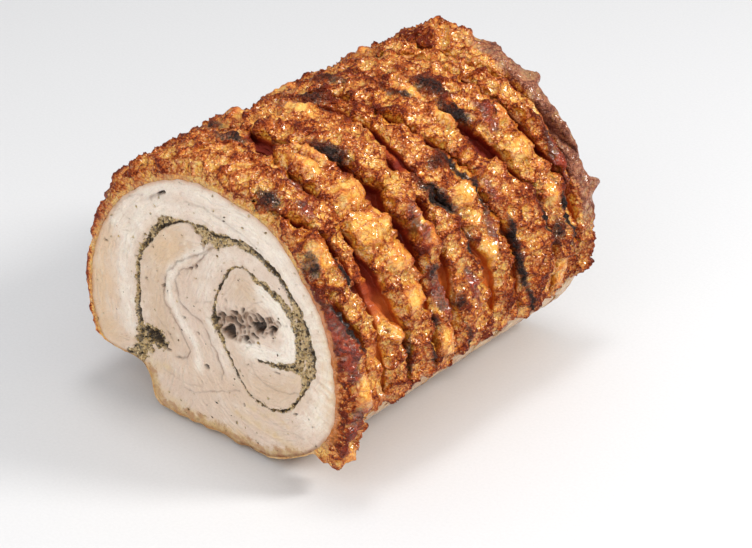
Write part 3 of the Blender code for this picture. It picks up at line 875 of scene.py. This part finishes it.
def skin_material():
    tree = Tree("crackling_skin")
    step, blend = tree.step, tree.blend
    tone, char, gap, bare = tree.attribute("skin")
    crease, calm, rim, crown = tree.attribute("skin_detail")
    glaze, torn, ledge, _ = tree.attribute("skin_glaze")
    granule, pick = tree.cells(1.5)
    bead, _ = tree.cells(0.9)
    crack = step(tree.cracks(2.4), 0.10, 0.0)
    grain = tree.noise(1.0, 4, 0.7)
    cloud = tree.noise(5, 4, 0.6)
    fine, broad = grain - 0.5, cloud - 0.5
    grainy = (1.0 - 0.5 * calm) * tree.clamped(crown - 0.5 * glaze)
    # Painted shade in the thin cracks between cells, in patches.
    pit = crack * grainy * step(tree.noise(6, 3), 0.42, 0.62)

    # Puffed rind in its own tones, with painted shade darkening its creases, its cracks and the edges
    # of its granules, and painted light paling the middles of its granules.
    level = tone + 0.48 * broad + 0.40 * fine - 0.62 * crease - 0.30 * pit
    level = level - 0.40 * grainy * (granule - 0.42) - 0.42 * grainy * (bead - 0.42)
    colour = tree.ramp(level, (
        (0.00, srgb(112, 34, 6)), (0.16, srgb(156, 62, 12)), (0.36, srgb(198, 98, 24)),
        (0.54, srgb(226, 134, 40)), (0.74, srgb(246, 168, 54)), (1.00, srgb(254, 206, 104)),
    ))
    # Painted highlights: pale glints on the middles of some granules.
    spot = step(granule, 0.36, 0.12) * step(pick, 0.55, 0.9) * grainy * 0.5
    colour = blend(spot, colour, srgb(255, 216, 140))
    # The smooth amber walls and floors of the open cuts.
    amber = tree.ramp(tone, (
        (0.05, srgb(108, 22, 8)), (0.35, srgb(146, 46, 12)), (0.85, srgb(198, 96, 28)),
    ))
    colour = blend(step(gap, 0.25, 0.85), colour, amber)
    # Red glossy skin, dried skin at the far end, and the cut edge of the rind.
    burnish = step(cloud + 0.8 * fine, 0.3, 0.7)
    glossy = blend(burnish, srgb(72, 12, 6), srgb(172, 56, 16))
    colour = blend(0.85 * step(glaze, 0.1, 0.6), colour, glossy)
    dried = blend(burnish, srgb(104, 60, 50), srgb(176, 118, 92))
    colour = blend(0.75 * torn, colour, dried)
    cut_rind = blend(ledge, srgb(184, 118, 62), srgb(214, 128, 56))
    colour = blend(rim * tree.clamped(0.35 + cloud), colour, cut_rind)
    # Burnt streaks, and pale skin at the lips of some cuts.
    burn = char + 0.9 * fine + 0.8 * broad - 0.4 * (granule - 0.5)
    black = step(burn, 0.5, 0.95)
    colour = blend(0.75 * step(burn, 0.2, 0.6), colour, srgb(92, 40, 18))
    colour = blend(0.95 * black, colour, srgb(30, 24, 24))
    lip = step(gap, 0.0, 0.12) * step(gap, 0.6, 0.2) * step(tree.noise(14, 2), 0.5, 0.62)
    colour = blend(0.6 * lip, colour, srgb(218, 150, 96))
    # Bare meat and fat underneath.
    meat = tree.ramp(cloud + 0.4 * fine, (
        (0.30, srgb(156, 92, 44)), (0.46, srgb(204, 152, 90)), (0.70, srgb(222, 190, 138)),
    ))
    colour = blend(step(bare + 0.9 * broad + 0.5 * fine, 0.4, 0.7), colour, meat)

    height = 0.4 * grain - grainy * (granule * granule + 0.25 * crack + 0.5 * bead)
    oily = step(level, 0.15, 0.7) * (1.0 - black) * (0.8 - 0.7 * gap) + 0.3 * glaze
    return tree.finish({
        "Base Color": colour, "Roughness": 0.36 + 0.2 * pit + 0.2 * black + 0.2 * gap,
        "Normal": tree.bump(height, 1.4), "Coat Weight": tree.clamped(oily),
        "Coat Normal": tree.bump(height, 0.12), "Coat Roughness": 0.12, "Coat IOR": 1.75,
        "Specular IOR Level": 0.25,
    })


def meat_material():
    tree = Tree("cut_meat")
    step, blend = tree.step, tree.blend
    fat, beige, tan, paste = tree.attribute("meat")
    dark, seam, yellow, hole_shade = tree.attribute("meat_detail")
    web, fibre, _, _ = tree.attribute("meat_web")
    browned, underside, dark_lower_rim, _ = tree.attribute("meat_edge")
    grain = tree.noise(0.9, 4, 0.65)
    cloud = tree.noise(4.5, 4, 0.65)
    fine = grain - 0.5
    _, pick = tree.cells(1.0)

    # Muscle and fat.
    colour = blend(cloud, srgb(218, 194, 174), srgb(234, 212, 194))
    colour = blend(0.85 * beige, colour, srgb(214, 186, 156))
    colour = blend(0.8 * tan, colour, srgb(228, 194, 154))
    colour = blend(0.85 * fat, colour, srgb(250, 240, 226))
    colour = blend(0.5 * (fibre - 0.45) + 0.05, colour, srgb(178, 148, 128))
    colour = blend(0.35 * step(grain, 0.50, 0.30), colour, srgb(178, 146, 122))
    colour = blend(0.6 * yellow, colour, srgb(222, 190, 124))
    # The browned rim and underside.
    colour = blend(browned * (cloud + 0.3), colour, srgb(196, 128, 66))
    ragged = step(underside + 1.8 * (cloud - 0.5) + 0.8 * grain, 0.8, 1.35)
    browner = blend(step(cloud, 0.4, 0.6), srgb(198, 164, 100), srgb(172, 118, 62))
    colour = blend(0.75 * ragged, colour, browner)
    # A darker brown line along the rim at the lower right.
    colour = blend(dark_lower_rim * (0.1 + cloud), colour, srgb(112, 62, 30))
    # Seams, the web at the core, the filling, and the holes and open web painted dark as shade.
    colour = blend(0.8 * seam, colour, srgb(140, 112, 98))
    colour = blend(0.85 * web, colour, srgb(126, 90, 60))
    cream = blend(step(cloud, 0.35, 0.65), srgb(164, 134, 82), srgb(206, 176, 124))
    fleck = step(0.5 * dark + 0.9 * grain + 0.35 * pick, 0.68, 0.84)
    filling = blend(fleck, cream, srgb(84, 70, 44))
    colour = blend(0.85 * step(paste + 1.4 * fine, 0.35, 0.8), colour, filling)
    colour = blend(step(dark + 1.6 * fine, 0.3, 0.75), colour, srgb(66, 52, 32))
    colour = blend(hole_shade, colour, srgb(44, 26, 14))

    height = grain + 0.8 * fibre + 0.8 * cloud + pick * paste
    return tree.finish({
        "Base Color": colour, "Roughness": 0.42, "Normal": tree.bump(height, 0.5),
        "Coat Weight": 0.15, "Coat Roughness": 0.25, "Subsurface Weight": 0.2,
        "Subsurface Scale": 0.003, "Subsurface Radius": (1.0, 0.55, 0.35),
    })


def crumb_material():
    tree = Tree("herbs_and_crumbs")
    colour = tree.add("Attribute", {}, attribute_name="crumb").outputs["Color"]
    darker = tree.blend(1.0, colour, (0.75, 0.7, 0.6), "MULTIPLY")
    return tree.finish({"Base Color": tree.blend(tree.noise(0.5), darker, colour), "Roughness": 0.55})


def plain_material(name, colour, roughness):
    tree = Tree(name)
    darker = tuple(part * 0.9 for part in colour)
    mottled = tree.blend(tree.noise(1.5), colour, darker)
    return tree.finish({"Base Color": mottled, "Roughness": roughness})


# ------------------------------------------------------------------ sliced faces

# How far apart the points of a line are, and how deep the slabs of sliced meat are.
LINE_STEP = 0.6
SLAB_DEPTH = 11


def through(knots):
    """Points along a smooth line through the knots. Further numbers of a knot go along."""
    knots = np.array(knots, float)
    whole = np.concatenate([[2 * knots[0] - knots[1]], knots, [2 * knots[-1] - knots[-2]]])
    rows = []
    for i in range(1, len(knots)):
        a, b, c, d = whole[i - 1 : i + 3]
        count = max(int(np.linalg.norm((c - b)[:2]) / LINE_STEP), 1)
        t = (np.arange(count) / count)[:, None]
        bend = (2 * a - 5 * b + 4 * c - d) * t**2 + (3 * b - a - 3 * c + d) * t**3
        rows.append(b + ((c - a) * t + bend) / 2)
    rows.append(knots[-1:])
    return np.concatenate(rows)


def nearest_on(flat, knots):
    """For each (x, z) point: signed distance from the line, positive on its left, how far along
    the nearest spot is, and the further numbers there."""
    line = through(knots)
    place = line[:, :2]
    lengths = np.concatenate([[0], np.cumsum(np.linalg.norm(np.diff(place, axis=0), axis=1))])
    heading = np.gradient(place, axis=0)
    heading = heading / np.linalg.norm(heading, axis=1, keepdims=True)
    distance = np.zeros(len(flat))
    spot = np.zeros(len(flat), int)
    for start in range(0, len(flat), 6000):
        block = flat[start : start + 6000]
        found = ((block[:, None] - place[None]) ** 2).sum(-1).argmin(1)
        gap = block - place[found]
        side = heading[found, 0] * gap[:, 1] - heading[found, 1] * gap[:, 0]
        at_end = (found == 0) | (found == len(place) - 1)
        past_end = np.where(side < 0, -1, 1) * np.linalg.norm(gap, axis=1)
        distance[start : start + 6000] = np.where(at_end, past_end, side)
        spot[start : start + 6000] = found
    return distance, lengths[spot], line[spot, 2:].T


def strokes(flat, table):
    """The strength of each soft line: full on it, and gone about two widths beside it."""
    return [share * bell(nearest_on(flat, knots)[0], width) for share, width, knots in table]


def blob(flat, x, z, wide, high, turn):
    c, s = math.cos(math.radians(turn)), math.sin(math.radians(turn))
    dx, dz = flat[:, 0] - x, flat[:, 1] - z
    return np.exp(-(((dx * c + dz * s) / wide) ** 2) - ((dz * c - dx * s) / high) ** 2)


def blobs(flat, table):
    return sum(share * blob(flat, *shape) for share, shape in table)


def face_fields(flat, layer, warp):
    """Relief and colour fields of the sliced meat. The layer picks the random pattern, and warp
    is how many millimetres the pattern is bent."""
    layers = np.full(len(flat), float(layer))
    deep = np.stack([flat[:, 0], 60 * layers, flat[:, 1]], -1)

    def rough(size, seed):
        return noise(deep, size, seed)

    slow, wavy, quick = (
        np.stack([rough(size, seed), rough(size, seed + 1)], -1)
        for size, seed in ((26, 71), (8.0, 87), (2.6, 73))
    )
    bent = flat + warp * slow + 0.6 * wavy + 0.6 * quick
    patch = layered_noise(deep, 12, 75)

    # The spiral of filling.
    side, along, (outside, inside, darkness, line_width) = nearest_on(bent, SPIRAL)
    spread = np.where(side > 0, side / np.maximum(outside, 0.6), -side / np.maximum(inside, 0.6))
    paste = 1 - smooth(0.5, 1.3, spread / np.maximum(1 + 0.6 * rough(3.0, 76), 0.3))
    broken = np.clip(0.72 + 0.75 * rough(7.0, 77) + 0.55 * rough(2.6, 91), 0, 1.2)
    dark = darkness * broken * bell(side, line_width * 0.7)
    dark = np.maximum(dark, 0.8 * paste * smooth(0.15, 0.42, rough(2.1, 93)))

    # Fat and muscle, with fibres along the layers and ribs across the outer fat on the right.
    streaks = np.stack([along / 9, 7 * layers, side / 1.1], -1)
    fibre = noise(streaks, 1, 78) + 0.5 * noise(streaks * [2, 1, 2.3], 1, 79)
    across = np.stack([along / 1.5, 7 * layers, side / 9], -1)
    ribs = noise(across, 1, 80) * smooth(48, 62, bent[:, 0]) * (side > 2)
    speckle = rough(3.5, 86)
    fat = sum(strokes(bent, FAT)) + 0.30 * fibre + 0.8 * ribs + 0.45 * patch + 0.32 * speckle
    yellow = sum(strokes(bent, YELLOW)) * (0.55 + 0.6 * rough(3.5, 81))
    halo = [(0.18 * strength, 4 * width, knots) for strength, width, knots in SEAMS]
    seam = np.maximum(np.max(strokes(bent, SEAMS), 0), np.max(strokes(bent, halo), 0))
    seam = seam * (0.75 + 0.6 * rough(5, 82))

    # The open web at the core, the holes and the dark spots, whose darkness is painted shade.
    web = smooth(0.25, 0.7, blobs(bent, WEB) + 0.45 * rough(3.4, 89))
    strand = 1 - smooth(0.03, 0.22, np.abs(noise(deep + quick[:, [0, 0, 1]], 4.6, 84)))
    open_web = web * (1 - strand) * smooth(-0.25, 0.25, rough(3.6, 92))
    ragged = 0.22 * rough(2.4, 90)
    pit = np.zeros(len(flat))
    for depth, shape in PITS:
        place = blob(bent, *shape) + ragged
        pit = np.maximum(pit, depth * smooth(0.45, 0.72, place))
        if depth > HERB_POCKET_DEPTH:
            paste = np.maximum(paste, smooth(0.04, 0.25, place))
            dark = np.maximum(dark, 0.7 * broken * smooth(0.12, 0.3, place))
    crumbs, _, _ = bubbles(deep, 2.3, 83)
    relief = (
        0.45 * patch + 0.14 * fibre + 0.4 * ribs + 0.15 * speckle
        - paste * (0.7 - 1.3 * (crumbs - 0.4))
        - 1.2 * smooth(0.25, 0.7, dark)
        - 0.9 * seam
        - web * (0.5 - 0.4 * strand) - 1.4 * open_web
        - pit
    )
    # Painted shade: how dark the holes, the dark spots and the open web are coloured.
    hole_shade = np.clip(0.92 * smooth(0.4, 2.0, pit) + 0.95 * open_web, 0, 1)
    return relief, {
        "meat": (fat, blobs(bent, BEIGE), blobs(bent, TAN), paste),
        "meat_detail": (dark, seam, yellow, hole_shade),
        "meat_web": (web * (1 - 0.55 * strand), 0.5 + 0.5 * fibre, 0 * web, 0 * web + 1),
    }


def outline_radius(outline, turn):
    """How far the pocket's outline is from the axis in this direction."""
    order = np.argsort(TURNS % (2 * np.pi))
    places = (TURNS % (2 * np.pi))[order]
    return np.interp(turn % (2 * np.pi), places, outline[order], period=2 * np.pi)


def face_points(reach, turn):
    return np.stack([reach * np.cos(turn), AXIS_HEIGHT + reach * np.sin(turn)], -1)


def disc_grid(count):
    """A square grid of points eased into the unit disc, as (radius, turn) arrays."""
    steps = np.linspace(-1, 1, count + 1)
    u, v = np.meshgrid(steps, steps, indexing="ij")
    wide = np.abs(u) > np.abs(v)
    radius = np.where(wide, u, v)
    safe_u, safe_v = np.where(u == 0, 1, u), np.where(v == 0, 1, v)
    turn = np.where(wide, np.pi / 4 * v / safe_u, np.pi / 2 - np.pi / 4 * u / safe_v)
    turn = np.where(radius < 0, turn + np.pi, turn)
    return np.abs(radius).ravel(), turn.ravel()


def sliced_face(name, end, count):
    """The sliced meat: a slab in the pocket at one end, uneven in front."""
    share, turn = disc_grid(count)
    edge = outline_radius(end["outline"], turn)
    flat = face_points(share * (edge + 0.3), turn)
    relief, fields = face_fields(flat, end["layer"], end["warp"])
    to_rim = edge * (1 - share)
    relief = np.minimum(relief, 0.9) * smooth(0, 2.5, to_rim) - 0.25 + 0.25 * smooth(0, 4, to_rim)
    uneven = noise(np.stack([flat[:, 0], 0 * share, flat[:, 1]], -1), 8, 85)
    browned = (1 - smooth(0.4, 2.6, to_rim)) * (0.6 + 0.4 * uneven)
    underside = (1 - smooth(2.0, 11.0, to_rim)) * smooth(-0.5, -0.75, np.sin(turn))
    lower_right = smooth(-4, 14, flat[:, 0]) * (1 - smooth(16, 30, flat[:, 1]))
    dark_lower_rim = (1 - smooth(0.8, 2.4, to_rim)) * lower_right
    fields["meat_edge"] = (browned, underside, dark_lower_rim, 0 * share + 1)

    inward = end["inward"]
    y = end["station"] - inward * relief
    front = np.stack([flat[:, 0], y, np.maximum(flat[:, 1], 0)], -1)
    index = np.arange((count + 1) ** 2).reshape(count + 1, count + 1)
    quads = np.stack([index[:-1, :-1], index[1:, :-1], index[1:, 1:], index[:-1, 1:]], -1)
    rim = np.concatenate([index[:-1, 0], index[-1, :-1], index[:0:-1, -1], index[0, :0:-1]])
    back = front[rim].copy()
    back[:, 1] = end["station"] + inward * SLAB_DEPTH
    behind = len(front) + np.arange(len(rim))
    wall = np.stack([np.roll(rim, -1), rim, behind, np.roll(behind, -1)], -1)
    faces = [quads.reshape(-1, 4), wall, behind[::-1][None]]
    if inward < 0:
        faces = [block[:, ::-1] for block in faces]
    for key, parts in fields.items():
        fields[key] = [np.concatenate([part, part[rim]]) for part in parts]
    return make_mesh(name, np.concatenate([front, back]), faces, fields)


# ------------------------------------------------------------------ herbs and crumbs

CRUMB_COLOURS = (
    (226, 204, 160), (204, 176, 122), (172, 144, 92), (124, 100, 58), (84, 64, 38), (56, 42, 26),
)
# From this shade on a piece is a flat fleck of herb, and before it a round crumb.
FIRST_HERB_SHADE = 4
OCTAHEDRON = np.array([(1, 0, 0), (-1, 0, 0), (0, 1, 0), (0, -1, 0), (0, 0, 1), (0, 0, -1)], float)
OCTAHEDRON_FACES = np.array([
    (0, 2, 4), (2, 1, 4), (1, 3, 4), (3, 0, 4), (2, 0, 5), (1, 2, 5), (3, 1, 5), (0, 3, 5),
])


def scattered(name, end, tries, seed):
    """Crumbs of the paste and flecks of herb that stand out of one sliced face."""
    chance = np.random.default_rng(seed)
    turn = chance.uniform(0, 2 * np.pi, tries)
    edge = outline_radius(end["outline"], turn) - 2
    flat = face_points(edge * np.sqrt(chance.uniform(0, 1, tries)), turn)
    relief, fields = face_fields(flat, end["layer"], end["warp"])
    paste, dark, hole_shade = fields["meat"][3], fields["meat_detail"][0], fields["meat_detail"][3]
    on_line = smooth(0.25, 0.6, dark)
    wanted = np.clip(0.30 * smooth(0.5, 0.9, paste) + 0.55 * on_line, 0, 0.7) + 0.0015
    kept = (chance.uniform(0, 1, tries) < wanted) & (hole_shade < 0.5)
    flat, relief, paste, on_line = flat[kept], relief[kept], paste[kept], on_line[kept]
    count = len(flat)
    loose = paste < 0.3
    size = mix(0.3, 0.85, chance.uniform(0, 1, count) ** 1.5) * np.where(loose, 0.6, 1)
    darker = 0.75 * chance.uniform(0, 1, count) + 0.6 * on_line + 0.5 * loose
    shade = np.clip((darker * 5.0).astype(int), 0, len(CRUMB_COLOURS) - 1)
    herb = shade >= FIRST_HERB_SHADE
    drawn_out = np.where(herb, chance.uniform(1.2, 2.4, count), chance.uniform(0.8, 1.3, count))
    spin = chance.uniform(0, np.pi, count)
    corners = OCTAHEDRON[None] * (1 + chance.uniform(-0.25, 0.25, (count, 6, 1)))
    long, up, across = np.moveaxis(corners, -1, 0)
    long = long * drawn_out[:, None]
    c, s = np.cos(spin)[:, None], np.sin(spin)[:, None]
    x = flat[:, :1] + size[:, None] * (long * c - across * s)
    z = flat[:, 1:] + size[:, None] * (long * s + across * c)
    middle = (end["station"] - end["inward"] * (relief + 0.25 * size))[:, None]
    y = middle - end["inward"] * up * (size * np.where(herb, 0.45, 0.8))[:, None]
    faces = (OCTAHEDRON_FACES[None] + 6 * np.arange(count)[:, None, None]).reshape(-1, 3)
    if end["inward"] > 0:
        faces = faces[:, ::-1]
    palette = np.array([srgb(*colour) for colour in CRUMB_COLOURS])
    colours = np.repeat(palette[shade] * chance.uniform(0.8, 1.15, (count, 1)), 6, axis=0)
    fields = {"crumb": (*colours.T, np.ones(6 * count))}
    return make_mesh(name, np.stack([x, y, z], -1).reshape(-1, 3), [faces], fields)


# ------------------------------------------------------------------ stage

CAMERA_AZIMUTH = 40.47
CAMERA_ELEVATION = 28.34
CAMERA_DISTANCE = 1.2195
CAMERA_TARGET_HEIGHT = 0.0708
CAMERA_LENS = 123.45
CAMERA_SHIFT = (0.0440, -0.0552)
# Soft lights: (name, place, aimed at, size, power, colour).
LIGHTS = (
    ("window", (0.95, 0.60, 0.95), (0, 0, 0.05), 0.36, 14.5, (1.0, 0.98, 0.95)),
    ("overhead", (-0.05, 0.05, 1.35), (0, 0, 0.05), 0.35, 4.5, (1.0, 1.0, 1.0)),
    ("front_fill", (0.35, -1.25, 0.80), (0, 0, 0.06), 1.8, 13.6, (1.0, 0.99, 0.97)),
)
SKY_COLOUR = (0.97, 0.985, 1.0, 1)
# How the sky's brightness (To) rises with height above the horizon (From).
SKY_RISE = {"From Min": 0.0, "From Max": 0.8, "To Min": 0.24, "To Max": 0.64}
FLOOR_HALF_SIZE = 6.0
FLOOR_COLOUR = (0.72, 0.72, 0.73)


def make_camera():
    azimuth, elevation = math.radians(CAMERA_AZIMUTH), math.radians(CAMERA_ELEVATION)
    data = bpy.data.cameras.new("camera")
    data.lens = CAMERA_LENS
    data.sensor_width = 36
    data.shift_x, data.shift_y = CAMERA_SHIFT
    data.clip_start = 0.05
    camera = bpy.data.objects.new("camera", data)
    camera.location = (
        CAMERA_DISTANCE * math.sin(azimuth) * math.cos(elevation),
        -CAMERA_DISTANCE * math.cos(azimuth) * math.cos(elevation),
        CAMERA_DISTANCE * math.sin(elevation) + CAMERA_TARGET_HEIGHT,
    )
    camera.rotation_euler = (math.pi / 2 - elevation, 0, azimuth)
    bpy.context.scene.collection.objects.link(camera)
    bpy.context.scene.camera = camera


def make_light(name, place, aim, size, power, colour):
    data = bpy.data.lights.new(name, "AREA")
    data.shape = "DISK"
    data.size = size
    data.energy = power
    data.color = colour
    light = bpy.data.objects.new(name, data)
    light.location = place
    x, y, z = np.array(place) - np.array(aim)
    light.rotation_euler = (math.atan2(math.hypot(x, y), z), 0, math.atan2(x, -y))
    bpy.context.scene.collection.objects.link(light)


def make_sky():
    """A sky that is brighter overhead than at the horizon."""
    world = bpy.data.worlds.new("studio")
    world.use_nodes = True
    nodes, links = world.node_tree.nodes, world.node_tree.links
    background = nodes["Background"]
    background.inputs["Color"].default_value = SKY_COLOUR
    upward = nodes.new("ShaderNodeSeparateXYZ")
    links.new(nodes.new("ShaderNodeTexCoord").outputs["Generated"], upward.inputs[0])
    rise = nodes.new("ShaderNodeMapRange")
    for key, value in SKY_RISE.items():
        rise.inputs[key].default_value = value
    links.new(upward.outputs["Z"], rise.inputs["Value"])
    links.new(rise.outputs["Result"], background.inputs["Strength"])
    bpy.context.scene.world = world


def make_floor():
    mesh = bpy.data.meshes.new("floor")
    corners = [(-1, -1), (1, -1), (1, 1), (-1, 1)]
    points = [(x * FLOOR_HALF_SIZE, y * FLOOR_HALF_SIZE, 0) for x, y in corners]
    mesh.from_pydata(points, [], [(0, 1, 2, 3)])
    floor = bpy.data.objects.new("floor", mesh)
    floor.data.materials.append(plain_material("pale_floor", FLOOR_COLOUR, 0.6))
    bpy.context.scene.collection.objects.link(floor)


def main():
    make_camera()
    make_sky()
    for light in LIGHTS:
        make_light(*light)
    make_floor()
    bpy.context.scene.view_settings.view_transform = "Standard"

    roast, near_outline, far_outline = build_crackling()
    near = {"outline": near_outline, "station": 0, "inward": 1, "layer": 0, "warp": 0.4}
    far = {"outline": far_outline, "station": LENGTH, "inward": -1, "layer": 1, "warp": 3.0}
    skin = skin_material()
    for piece in roast:
        piece.data.materials.append(skin)
        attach(piece, "root")
    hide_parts("pork_roll")
    meat = meat_material()
    near_face = sliced_face("near_face", near, 280)
    far_face = sliced_face("far_face", far, 180)
    for piece in (near_face, far_face):
        piece.data.materials.append(meat)
        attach(piece, "root")
    near_crumbs = scattered("near_crumbs", near, 30000, seed=5)
    far_crumbs = scattered("far_crumbs", far, 16000, seed=6)
    herbs = crumb_material()
    for piece in (near_crumbs, far_crumbs):
        piece.data.materials.append(herbs)
        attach(piece, "root")
    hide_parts("herb_filling")


main()
